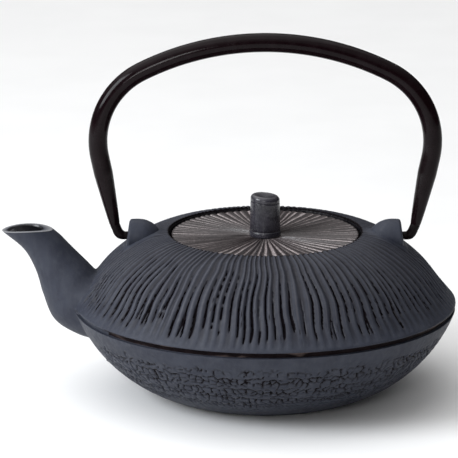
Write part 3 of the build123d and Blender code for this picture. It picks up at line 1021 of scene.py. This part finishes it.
def build_lid():
    """Flat lid with thin ridges running out from the knob, painted light along their crests (rubbed paint
    and painted highlight) and painted dark in the grooves as shade.
    """
    top_radii = np.arange(lid_radius - 0.9, stud_hole_radius + 1, -0.8)
    top = np.stack([top_radii, lid_surface_z(top_radii)], -1)
    under_z = lid_top_z - lid_plate
    ledge_z = collar_high.z + 0.1
    under = rounded(
        [
            (stud_hole_radius + 0.6, lid_surface_z(0)),
            (stud_hole_radius, lid_surface_z(0)),
            (stud_hole_radius, under_z),
            (lid_skirt_radius - lid_skirt_wall, under_z),
            (lid_skirt_radius - lid_skirt_wall, lid_skirt_bottom_z),
            (lid_skirt_radius, lid_skirt_bottom_z),
            (lid_skirt_radius, ledge_z),
            (lid_radius, ledge_z),
            (lid_radius, lid_top_z),
            (lid_radius - 0.5, lid_top_z),
        ],
        0.45,
        1.6,
    )
    widths = rng.uniform(0.6, 1.4, lid_ridge_count)
    radius = top[:, :1]
    wander = wave_noise(turns, radius / 9.0, 40, 31) * 0.2
    place = (turns + wander / (radius * tau)) % 1
    sector, across, share = uneven_sectors(place, widths)
    pitch = share * radius * tau
    from_crest = np.abs(across - 0.5) * pitch

    # Each crest widens outwards, and about half of them are painted bright, partly as rubbed paint and
    # partly as a painted highlight
    crest_half = 0.13 + rng.uniform(0.08, 0.20, lid_ridge_count)[sector] * pitch
    crest = smoothstep(crest_half + 0.30, crest_half * 0.5, from_crest)
    bright = smoothstep(0.1, 0.8, rng.random(lid_ridge_count))[sector]
    fine = smoothstep(0.2, 0.7, wave_noise(place, radius / 14.0, 430, 32))
    fine = fine * smoothstep(12.0, 24.0, radius) * (1 - crest)
    groove = smoothstep(0.8, 0.15, np.minimum(across, 1 - across) * pitch)
    out_of_collar = smoothstep(knob_collar_radius - 1.0, knob_collar_radius + 1.5, radius)
    layers = (
        lid_ridge_height * (1 - crest) + 0.12 * groove - 0.08 * fine,
        # Crests painted light: rubbed paint and painted highlight
        np.clip(crest * (0.35 + 0.65 * bright) + 0.08 * fine, 0, 1),
        # Painted shade in the grooves
        0.6 * groove,
    )
    depth, ridge, pool_and_shade = (
        np.concatenate([layer * out_of_collar, np.zeros((len(under), columns))]) for layer in layers
    )
    depth[-4:] = depth[0] * run_out[::-1]
    profile = np.concatenate([top, under])
    lid = ring_lathe("lid_plate", profile[::-1], columns, depth[::-1], (lid_enamel(),))
    store(lid, "ridge", ridge[::-1])
    store(lid, "pool_and_shade", pool_and_shade[::-1])
    return finish_piece(lid, "lid", "lid_iron", "lid", sharp_angle=50)


def build_knob():
    """Stub knob with a flared foot, a groove above its collar and a dished, slanted top."""
    top = knob_top_z
    foot = lid_surface_z(0)
    collar_top = foot + knob_collar_height
    side = [
        # distance in from the collar's edge, height
        (0, foot),
        (0, collar_top),
        (0.4, collar_top + 0.3),
        (0.4, collar_top + 0.6),
        (0.15, collar_top + 0.95),
        (0.35, collar_top + 5.0),
        (0.48, top - 3.2),
        (0.62, top - 2.9),
        (0.50, top - 2.6),
        (0.60, top - 0.9),
        (1.8, top + 0.2),
        (3.2, top - 0.3),
    ]
    outline = [
        (0, knob_low.z),
        (stud_radius, knob_low.z),
        (stud_radius, foot),
        *((knob_collar_radius - inset, z) for inset, z in side),
        (0, top - 1.1),
    ]
    profile = rounded(outline, 0.7, 0.4)
    rings = lathe(profile, 144)
    lean = np.tan(radians(knob_slant)) * smoothstep(collar_top + 2, top, rings[..., 2])
    rings[..., 2] -= rings[..., 0] * lean
    rings[..., 2] -= (rings[..., 2].max() - knob_high.z) * smoothstep(collar_top + 2, top, rings[..., 2])
    points, faces = capped_grid(rings[1:-1], rings[0, 0], rings[-1, 0])
    knob = make_object("knob", points, faces, (knob_enamel(),))
    lightened = smoothstep(top - 1.4, top - 0.2, points[:, 2]) * smoothstep(3.2, 4.6, np.hypot(*points[:, :2].T))
    store(knob, "ridge", 0.5 * lightened)
    return finish_piece(knob, "lid", "knob_iron", "lid_knob")


# ---------------------------------------------------------------- bail

def arc_point(centre, radius, degrees):
    """Point on an arc, with the angle from +Z towards +X."""
    return np.array([centre[0] + radius * sin(radians(degrees)), centre[1] + radius * cos(radians(degrees))])


leg_turn = 90.0 + bail_leg_lean
arch_centre = (0.0, bail_top_z - bail_top_radius)
shoulder_centre = arc_point(arch_centre, bail_top_radius - bail_shoulder_radius, bail_top_half_angle)
leg_top = arc_point(shoulder_centre, bail_shoulder_radius, leg_turn)
leg_direction = np.array([cos(radians(leg_turn)), -sin(radians(leg_turn))])


def bail_half():
    """Centre line (x, z) from the middle of the arch down to the end of the +X leg."""
    arch = [arc_point(arch_centre, bail_top_radius, a) for a in np.linspace(0, bail_top_half_angle, 30)]
    turn = np.linspace(bail_top_half_angle, leg_turn, 34)[1:]
    bend = [arc_point(shoulder_centre, bail_shoulder_radius, a) for a in turn]
    leg = [leg_top + leg_direction * d for d in np.linspace(0, bail_leg_length, 28)[1:]]
    return np.array([*arch, *bend, *leg])


def build_bail():
    """Rolled steel tube, open at both ends, with its seam along the inner side."""
    half = bail_half()
    line = np.concatenate([half[::-1] * [-1, 1], half[1:]])
    path = np.stack([line[:, 0], 0 * line[:, 0], line[:, 1]], -1)
    to_end = np.minimum(arc_length(path), arc_length(path)[-1] - arc_length(path))
    grown = np.clip(to_end / bail_taper_length, 0, 1) ** 0.85
    outer = bail_end_radius + (bail_tube_radius - bail_end_radius) * grown
    inner = np.maximum(outer - bail_tube_wall, hook_pin_radius + 0.1)
    sides = 96
    turn = np.arange(sides) * tau / sides
    # The seam lies where the tube faces the middle of the arch
    seam = np.minimum(np.abs(turn - pi), tau - np.abs(turn - pi)) * bail_tube_radius
    notch = 0.45 * smoothstep(0.42, 0.08, seam)
    skin = tube_rings(path, outer[:, None] - notch, sides, (0, 1, 0))
    bore = tube_rings(path, np.broadcast_to(inner[:, None], (len(path), sides)), sides, (0, 1, 0))
    lips = [shrunk(skin[-1], 0.08), shrunk(skin[0], 0.08)]
    rings = np.concatenate([skin[1:-1], lips[:1], bore[::-1], lips[1:]])
    faces = grid_faces(len(rings), sides, True).tolist()
    bail = face_out(make_object("bail", rings.reshape(-1, 3), faces, (bail_satin(),)))
    return finish_piece(bail, "bail", "bail_steel", "bail_tube")


def build_hook(side, name, node):
    """Forged rod pressed into the tube's end, bent inwards and drawn down to its pin."""
    start = leg_top + leg_direction * (bail_leg_length - hook_press_length)
    mouth = leg_top + leg_direction * bail_leg_length
    corner = leg_top + leg_direction * ((leg_top[1] - pivot_z) / -leg_direction[1]) - [hook_inset, 0]
    pin = np.array([pin_tip_x, pivot_z])
    fall = (corner - mouth) / np.linalg.norm(corner - mouth)
    reach = hook_bend_radius * np.tan(np.arccos(-fall[0]) / 2)
    before, after = corner - fall * reach, corner + np.array([-1, 0]) * reach
    t = np.linspace(0, 1, 15)[:, None]
    bend = (1 - t) ** 2 * before + 2 * t * (1 - t) * corner + t**2 * after
    inside, below = np.linspace(start, mouth, 12)[:-1], np.linspace(mouth, before, 5)[:-1]
    line = np.concatenate([inside, below, bend, np.linspace(after, pin, 16)[1:]])
    path = np.stack([side * line[:, 0], 0 * line[:, 0], line[:, 1]], -1)
    along = arc_length(path)
    tube_end = hook_press_length
    out_of_tube = smoothstep(tube_end - 1.5, tube_end, along)
    grown = hook_pin_radius + (hook_thick_radius - hook_pin_radius) * out_of_tube
    drawn = smoothstep(tube_end + 5.0, along[-1] - 8.0, along)
    radius = grown + (hook_pin_radius - grown) * drawn
    sides = 40
    turn = np.arange(sides) / sides
    lumps = wave_noise(turn, along[:, None] / 1.3, 9, 40)
    shaped = radius[:, None] + 0.10 * lumps * smoothstep(tube_end, tube_end + 2.0, along)[:, None]
    rings = tube_rings(path, shaped, sides, (0, 1, 0))
    rings = np.concatenate([rings, shrunk(rings[-1], 0.5)[None] + [-side * 0.3, 0, 0]])
    rings[-2:, :, 0] = np.clip(rings[-2:, :, 0] * side, pin_tip_x, None) * side
    hook = closed_rings(name, rings, (bpy.data.materials.get("hook_black") or hook_black(),))
    return finish_piece(hook, "bail", "hook_iron", node)


# ---------------------------------------------------------------- infuser

def wires(name, paths, radius, sides, across, closed, materials):
    """One mesh of many round wires, each along its own path and with its own direction across."""
    points, faces, start = [], [], 0
    for path, direction in zip(paths, across):
        if closed:
            looped = np.concatenate([path[-1:], path, path[:1]])
            direction = np.broadcast_to(direction, path.shape)
            direction = np.concatenate([direction[-1:], direction, direction[:1]])
            rings = tube_rings(looped, radius, sides, direction)[1:-1]
            mesh_faces = grid_faces(len(rings), sides, True)
            points.append(rings.reshape(-1, 3))
            faces += (mesh_faces + start).tolist()
        else:
            rings = tube_rings(path, radius, sides, direction)
            wire_points, wire_faces = capped_grid(rings, path[0], path[-1])
            points.append(wire_points)
            faces += [[v + start for v in f] for f in wire_faces]
        start += len(points[-1])
    return face_out(make_object(name, np.concatenate(points), faces, materials))


wire_radius = 0.14
mesh_pitch = 1.25


def build_mesh_wall(material):
    """Woven cylinder: upright wires that weave in and out of level rings."""
    middle = mesh_high.x - 2 * wire_radius
    bottom, top = mesh_low.z, mesh_high.z
    uprights = int(tau * middle / mesh_pitch / 2) * 2
    levels = int((top - bottom) / mesh_pitch)
    z = np.linspace(bottom + wire_radius, top - wire_radius, levels * 2 + 1)
    phase = (z - z[0]) / (z[-1] - z[0]) * levels * pi
    paths, across = [], []
    for i in range(uprights):
        turn = i / uprights * tau
        r = middle + wire_radius * np.sin(phase) * (1 if i % 2 else -1)
        paths.append(np.stack([r * cos(turn), r * sin(turn), z], -1))
        across.append((-sin(turn), cos(turn), 0))
    upright = wires("mesh_wall_uprights", paths, wire_radius, 5, across, False, (material,))
    turn = np.arange(uprights * 2) * tau / (uprights * 2)
    rings = []
    for level in range(levels):
        r = middle - wire_radius * np.cos(turn * uprights / 2) * (1 if level % 2 else -1)
        height = z[0] + (level + 0.5) * (z[-1] - z[0]) / levels
        rings.append(np.stack([r * np.cos(turn), r * np.sin(turn), height + 0 * turn], -1))
    hoops = wires("mesh_wall_hoops", rings, wire_radius, 5, [(0, 0, 1)] * levels, True, (material,))
    finish_piece(upright, "infuser", "stainless", "infuser_wall", sharp_angle=80)
    finish_piece(hoops, "infuser", "stainless", sharp_angle=80)


def build_mesh_floor(material):
    """Woven disc: two crossing sets of wires."""
    middle = (mesh_floor_low.z + mesh_floor_high.z) / 2
    radius = mesh_floor_high.x
    lines = np.arange(-int(radius / mesh_pitch), int(radius / mesh_pitch) + 1)
    for turned, name in ((False, "mesh_floor_one_way"), (True, "mesh_floor_other_way")):
        paths, across = [], []
        for i in lines:
            half = np.sqrt(max(radius**2 - (i * mesh_pitch) ** 2, 0)) - wire_radius
            if half < mesh_pitch:
                continue
            steps = int(half / mesh_pitch * 2)
            run = np.linspace(-half, half, steps * 2 + 1)
            sign = (1 if i % 2 else -1) * (1 if turned else -1)
            height = middle + wire_radius * np.cos(run / mesh_pitch * pi) * sign
            offset = np.full_like(run, i * mesh_pitch)
            flat = (offset, run) if turned else (run, offset)
            paths.append(np.stack([*flat, height], -1))
            across.append((1, 0, 0) if turned else (0, 1, 0))
        item = wires(name, paths, wire_radius, 5, across, False, (material,))
        nodes = () if turned else ("infuser_floor",)
        finish_piece(item, "infuser", "stainless", *nodes, sharp_angle=80)


def build_infuser():
    """Lift-out basket of woven mesh with a pressed collar and a base ring."""
    sheet = steel("steel_sheet", (1, 1, 6), 0.50, 0.66, 0.20, 0.34)
    mesh = steel("steel_wire", (1, 1, 1), 0.40, 0.62, 0.25, 0.40)
    fasteners = steel("steel_fastener", (6, 6, 1), 0.42, 0.60, 0.28, 0.42)
    build_mesh_wall(mesh)
    build_mesh_floor(mesh)
    for node, material in (
        ("infuser_collar", sheet),
        ("infuser_base_ring", sheet),
        ("knob_washer", fasteners),
        ("knob_nut", fasteners),
    ):
        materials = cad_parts[node].data.materials
        materials.clear()
        materials.append(material)


# ---------------------------------------------------------------- studio

def add_area_light(name, place, target, size, power, colour=(1, 1, 1)):
    """Soft rectangular light, in metres and watts, that faces a target."""
    light = bpy.data.lights.new(name, "AREA")
    light.shape = "RECTANGLE"
    light.size, light.size_y = size
    light.energy = power
    light.color = colour
    item = bpy.data.objects.new(name, light)
    item.location = place
    item.rotation_euler = (Vector(target) - Vector(place)).to_track_quat("-Z", "Y").to_euler()
    bpy.context.scene.collection.objects.link(item)


world_low = 0.10
world_high = 0.92
world_left = 1.65
world_right = 0.25


def build_studio():
    """Pale floor, white surroundings, soft panels and the camera."""
    reach = 4.0
    faces = [[0, 1, 2, 3]]
    corners = np.array([[-1, -1, 0], [1, -1, 0], [1, 1, 0], [-1, 1, 0]]) * reach / MM
    floor_item = make_object("studio_floor", corners - [0, 0, 0.1], faces, (floor_paper(),))

    world = bpy.data.worlds.new("studio")
    bpy.context.scene.world = world
    world.use_nodes = True
    nodes, links = world.node_tree.nodes, world.node_tree.links
    direction = nodes.new("ShaderNodeTexCoord").outputs["Generated"]
    split = nodes.new("ShaderNodeSeparateXYZ")
    links.new(direction, split.inputs[0])
    fade = map_range(nodes, links, split.outputs["Z"], (0.35, 0.75, world_low, world_high))
    # The surroundings are brighter on the spout's side
    side = map_range(nodes, links, split.outputs["X"], (-1.0, 1.0, world_left, world_right))
    strength = nodes.new("ShaderNodeMath")
    strength.operation = "MULTIPLY"
    links.new(fade, strength.inputs[0])
    links.new(side, strength.inputs[1])
    links.new(strength.outputs[0], nodes["Background"].inputs["Strength"])
    nodes["Background"].inputs["Color"].default_value = (1, 1, 1, 1)

    middle = (0, 0, 0.06)
    add_area_light("overhead", (-0.4, 0.2, 1.8), middle, (2.4, 2.4), 14.0)
    add_area_light("key_left", (-0.75, -0.35, 0.50), middle, (0.45, 0.45), 7.0, (0.92, 0.96, 1.0))
    add_area_light("front_strip", (-0.35, -1.5, 0.45), middle, (0.20, 0.50), 4.0)

    aim = Vector((-0.01587, 0.0, 0.07231))
    distance = 1.8
    elevation = radians(14.66)
    camera = bpy.data.cameras.new("camera")
    camera.sensor_width = 36.0
    camera.lens = 322.0
    camera_item = bpy.data.objects.new("camera", camera)
    camera_item.location = aim + Vector((0, -cos(elevation), sin(elevation))) * distance
    camera_item.rotation_euler = (pi / 2 - elevation, 0, 0)
    bpy.context.scene.collection.objects.link(camera_item)
    bpy.context.scene.camera = camera_item
    bpy.context.scene.view_settings.view_transform = "Standard"


build_pot()
build_lid()
build_knob()
build_bail()
build_hook(-1, "hook_spout_side", "bail_hook_spout_side")
build_hook(1, "hook_rear", "bail_hook_rear")
build_infuser()
build_studio()
